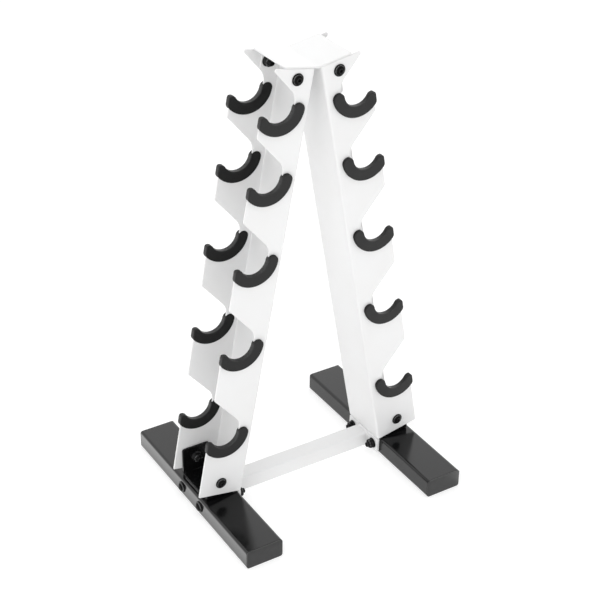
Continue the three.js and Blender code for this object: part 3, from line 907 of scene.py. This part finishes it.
def build_pads():
    for side, way in SIDES.items():
        for face, ahead in FACES.items():
            outward = way * ahead
            mesh = bpy.data.meshes.get(f"pad{outward}") or pad_mesh(f"pad{outward}", outward)
            for tier, s in enumerate(CRADLE_S, 1):
                seat = Matrix.Translation((CRADLE_T, outward * (CHANNEL_WIDTH - SHEET) / 2, s))
                put(f"pad_{side}_{face}_{tier}", mesh, channel_place(way) @ seat)


def build_feet():
    low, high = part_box("right_foot")
    size = high - low
    tube = tube_shape(size.x, size.z, FOOT_CORNER, size.y).mesh("foot", "black_gloss")
    plug = plug_shape(size.x, size.z).mesh("plug", "plug_plastic", math.radians(50))
    bracket = foot_bracket_shape().mesh("foot_bracket", "black_gloss")
    for side in SIDES:
        put(f"{side}_foot", tube, Matrix.Translation(middle(f"{side}_foot")))
        foot_top = outer_end(f"{side}_foot", 2, 1)
        put(f"{side}_foot_bracket", bracket, Matrix.Translation(foot_top))
        for face, way in FACES.items():
            end = outer_end(f"plug_{side}_{face}", 1, way)
            turn = Matrix.Rotation(0 if way < 0 else math.pi, 4, "Z")
            put(f"plug_{side}_{face}", plug, Matrix.Translation(end) @ turn)


def foot_bracket_shape():
    """The U bracket on a foot with its welds, and its underside at Z = 0."""
    low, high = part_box("right_foot_bracket")
    width, height = high.x - low.x, high.z - low.z
    half = (high.y - low.y) / 2
    flat, bend, fold = u_fold(half, BRACKET_CORNER, PLATE)
    reach = flat + bend + height - BRACKET_CORNER
    cuts = bend_cuts(flat, bend)
    x = width / 2
    outline = blank(square_end(reach, x, BRACKET_CORNER), cuts, -x, x)

    def upright(u, v, w):
        depth, across, along = fold(u, v, w)
        return (along, across, depth)

    bolt = middle("bolt_base_right_front").z - low.z
    centre = flat + bend + bolt - BRACKET_CORNER
    holes = [bolt_hole(way * centre, 0) for way in (-1, 1)]
    shape = plate([outline] + holes, PLATE, PLATE_EDGE, upright, cuts)
    for way in (-1, 1):
        shape.add(bead((way * x, -0.8 * flat, 0.3 * MM), (way * x, 0.8 * flat, 0.3 * MM)))
    return shape


def build_crossbar():
    low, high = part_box("crossbar_tube")
    size = high - low
    tube = tube_shape(size.y, size.z, CROSSBAR_CORNER, size.x)
    y, z = size.y / 2, size.z / 2
    straight = 1 - CROSSBAR_CORNER / y  # share of each side between the corners
    for end in (-size.x / 2, size.x / 2):
        for way in (-1, 1):
            level, wall = way * z, way * y
            tube.add(bead((-y * straight, end, level), (y * straight, end, level), SMALL_WELD))
            tube.add(bead((wall, end, -z * straight), (wall, end, z * straight), SMALL_WELD))
    mesh = tube.mesh("crossbar", "white_coat")
    across = Matrix.Rotation(-math.pi / 2, 4, "Z")
    put("crossbar_tube", mesh, Matrix.Translation(middle("crossbar_tube")) @ across)
    build_crossbar_plates()


def build_crossbar_plates():
    low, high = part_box("right_crossbar_plate")
    size = high - low
    bolt = middle("bolt_foot_right_rear")
    centre = (low + high) / 2
    outline = rectangle(size.y, size.z, BRACKET_CORNER)
    holes = [bolt_hole(way * bolt.y, bolt.z - centre.z) for way in (-1, 1)]
    half = size.x / 2
    flat = plate([outline] + holes, size.x, COAT_EDGE, lambda u, v, w: (w - half, u, v))
    mesh = flat.mesh("crossbar_plate", "white_coat")
    for side in SIDES:
        put(f"{side}_crossbar_plate", mesh, Matrix.Translation(middle(f"{side}_crossbar_plate")))


def valley_fold(radius, angle, z0):
    """A plate bent to a shallow V along Y: a point of the blank (u across, v along), w above it."""
    def fold(u, v, w):
        way = math.copysign(1, u)
        reach = abs(u)
        turn = min(reach / radius, angle)
        past = max(0.0, reach - radius * angle)
        x = radius * math.sin(turn) + past * math.cos(angle)
        z = radius * (1 - math.cos(turn)) + past * math.sin(angle)
        return (way * (x - w * math.sin(turn)), v, z0 + z + w * math.cos(turn))
    return fold


def build_top_bracket():
    low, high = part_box("top_bracket")
    reach = high.x / math.cos(LEAN) - 0.1 * MM
    under = CHANNEL_LENGTH + GAP
    valley = BASE_Z + (under - WEB_X * math.sin(LEAN)) / math.cos(LEAN)
    # A straight V would have its corner at the valley; the bend's arc lies a little above it.
    lift = CAP_BEND * (1 / math.cos(LEAN) - 1)
    y = (high.y - low.y) / 2
    steps = 6
    bend = CAP_BEND * LEAN
    cuts = [bend * i / steps for i in range(-steps, steps + 1)]
    cuts = [-bend - 1 * MM] + cuts + [bend + 1 * MM]
    outline = blank(square_end(reach, y, CAP_CORNER), cuts, -y, y)
    shape = plate([outline], CAP_THICKNESS, COAT_EDGE, valley_fold(CAP_BEND, LEAN, valley + lift), cuts)
    for way in SIDES.values():
        for ahead in FACES.values():
            shape.add(tab_shape(ahead, under), channel_place(way))
    put("top_bracket", shape.mesh("top_bracket", "white_coat"))


def tab_shape(ahead, under):
    """A tab that hangs inside a channel's flange from the cap's underside, with its weld."""
    near, far = TAB_SPAN
    foot, top = under - TAB_DROP, under + CAP_THICKNESS / 2
    corners = [(near, foot, BRACKET_CORNER), (far, foot, BRACKET_CORNER), (far, top, 0), (near, top, 0)]
    outside = CHANNEL_WIDTH / 2 - SHEET - GAP

    def stand(u, v, w):
        return (u, ahead * (outside - w), v)

    shape = plate([rounded(corners), bolt_hole(TOP_BOLT_T, TOP_BOLT_S)], PLATE, PLATE_EDGE, stand)
    weld_y = ahead * (outside - PLATE)
    shape.add(bead((near + 2 * MM, weld_y, under), (far - 2 * MM, weld_y, under), TAB_WELD))
    return shape


def build_fasteners():
    nut = nut_shape().mesh("nut", "black_oxide", FASTENER_SHARP)
    bolts = {}
    turns = random.Random(7)
    for side, way in SIDES.items():
        for face, ahead in FACES.items():
            for where, axis, out in (("top", 1, ahead), ("base", 1, ahead), ("foot", 0, way)):
                name = f"{where}_{side}_{face}"
                low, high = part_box(f"bolt_{name}")
                length = round((high - low)[axis] - HEAD_HEIGHT, 5)
                if length not in bolts:
                    shape = bolt_shape(length)
                    bolts[length] = shape.mesh(f"bolt{len(bolts)}", "black_oxide", FASTENER_SHARP)
                seat = outer_end(f"bolt_{name}", axis, out)
                seat[axis] -= out * HEAD_HEIGHT
                put(f"bolt_{name}", bolts[length], aimed(seat, axis, out, turns.uniform(0, math.pi)))
                seat = outer_end(f"nut_{name}", axis, out)
                put(f"nut_{name}", nut, aimed(seat, axis, -out, turns.uniform(0, math.pi)))


build_uprights()
build_pads()
build_feet()
build_crossbar()
build_top_bracket()
build_fasteners()

# ---- Floor, light and camera ----

FLOOR_SIZE = 16
FLOOR_SHADE = 0.6
NEAR_FLOOR = 189 * MM  # out to here from the middle, the floor's glow that gloss paint mirrors is painted darker, as a painted shadow of the rack
OPEN_FLOOR = 214 * MM  # from here on, it mirrors an open floor
NEAR_FLOOR_SHARE = 0.4  # how bright the floor's glow is under the painted shadow, beside the open floor
CAMERA_AZIMUTH = math.radians(-32.01)
CAMERA_ELEVATION = math.radians(31.03)
CAMERA_ROLL = math.radians(0.72)
CAMERA_DISTANCE = 2.15057
CAMERA_TARGET = Vector((0.00126, -0.00039, 0.3062))
CAMERA_LENS = 87.25
SENSOR = 36

ROOM_LIGHT = 0.7  # radiance of the white room, for everything but gloss
ROOM_GLOSS = 2.95  # what gloss paint mirrors of the room
FLOOR_GLOSS = 3.15  # what gloss paint mirrors of the floor
FLOOR_GLOW = 0.55  # radiance of the floor itself, which lifts the shadows on it
LAMPS = (  # name, place, size in metres and power
    ("overhead", (-0.3, 0.4, 2.6), 3, 21),
    ("front", (-3.1, -1.8, 1.9), 2, 25),
    ("low", (-0.45, -1.4, 0.25), 0.8, 3.2),
)


def build_room():
    world = bpy.data.worlds.new("room")
    bpy.context.scene.world = world
    world.use_nodes = True
    tree = world.node_tree
    back = tree.nodes["Background"]
    path = tree.nodes.new("ShaderNodeLightPath")
    level = tree.nodes.new("ShaderNodeMapRange")
    level.inputs["To Min"].default_value = ROOM_LIGHT
    level.inputs["To Max"].default_value = ROOM_GLOSS
    tree.links.new(path.outputs["Is Glossy Ray"], level.inputs["Value"])
    tree.links.new(level.outputs["Result"], back.inputs["Strength"])
    back.inputs["Color"].default_value = (1, 1, 1, 1)


def build_floor():
    half = FLOOR_SIZE / 2
    mesh = bpy.data.meshes.new("floor")
    corners = [(-half, -half, 0), (half, -half, 0), (half, half, 0), (-half, half, 0)]
    mesh.from_pydata(corners, [], [(0, 1, 2, 3)])
    material = bpy.data.materials.new("floor")
    material.use_nodes = True
    tree = material.node_tree
    shader = tree.nodes["Principled BSDF"]
    shader.inputs["Base Color"].default_value = (FLOOR_SHADE, FLOOR_SHADE, FLOOR_SHADE, 1)
    shader.inputs["Roughness"].default_value = 0.9
    shader.inputs["Specular IOR Level"].default_value = 0.1
    where = tree.nodes.new("ShaderNodeTexCoord")
    axes = tree.nodes.new("ShaderNodeSeparateXYZ")
    tree.links.new(where.outputs["Object"], axes.inputs[0])
    across = tree.nodes.new("ShaderNodeMath")
    across.operation = "ABSOLUTE"
    tree.links.new(axes.outputs["X"], across.inputs[0])
    # The floor's glow for gloss rays is painted darker under the rack, a painted shadow that shows only
    # in reflections.
    open_floor = tree.nodes.new("ShaderNodeMapRange")
    open_floor.inputs["From Min"].default_value = NEAR_FLOOR
    open_floor.inputs["From Max"].default_value = OPEN_FLOOR
    open_floor.inputs["To Min"].default_value = NEAR_FLOOR_SHARE * FLOOR_GLOSS - FLOOR_GLOW
    open_floor.inputs["To Max"].default_value = FLOOR_GLOSS - FLOOR_GLOW
    tree.links.new(across.outputs[0], open_floor.inputs["Value"])
    path = tree.nodes.new("ShaderNodeLightPath")
    level = tree.nodes.new("ShaderNodeMath")
    level.operation = "MULTIPLY_ADD"
    level.inputs[2].default_value = FLOOR_GLOW
    tree.links.new(path.outputs["Is Glossy Ray"], level.inputs[0])
    tree.links.new(open_floor.outputs["Result"], level.inputs[1])
    shader.inputs["Emission Color"].default_value = (1, 1, 1, 1)
    tree.links.new(level.outputs[0], shader.inputs["Emission Strength"])
    mesh.materials.append(material)
    floor = bpy.data.objects.new("floor", mesh)
    bpy.context.collection.objects.link(floor)


def build_lights():
    for name, place, size, power in LAMPS:
        light = bpy.data.lights.new(name, "AREA")
        light.size = size
        light.energy = power
        lamp = bpy.data.objects.new(name, light)
        turn = (Vector(place) - CAMERA_TARGET).to_track_quat("Z", "Y").to_matrix().to_4x4()
        lamp.matrix_world = Matrix.Translation(place) @ turn
        bpy.context.collection.objects.link(lamp)


def build_camera():
    data = bpy.data.cameras.new("camera")
    data.sensor_width = SENSOR
    data.lens = CAMERA_LENS
    camera = bpy.data.objects.new("camera", data)
    bpy.context.collection.objects.link(camera)
    level = math.cos(CAMERA_ELEVATION)
    right, ahead = math.sin(CAMERA_AZIMUTH) * level, math.cos(CAMERA_AZIMUTH) * level
    back = Vector((right, -ahead, math.sin(CAMERA_ELEVATION)))
    turn = back.to_track_quat("Z", "Y").to_matrix().to_4x4()
    roll = Matrix.Rotation(CAMERA_ROLL, 4, "Z")
    camera.matrix_world = Matrix.Translation(CAMERA_TARGET + back * CAMERA_DISTANCE) @ turn @ roll
    bpy.context.scene.camera = camera


build_room()
build_floor()
build_lights()
build_camera()
bpy.context.scene.view_settings.view_transform = "Standard"
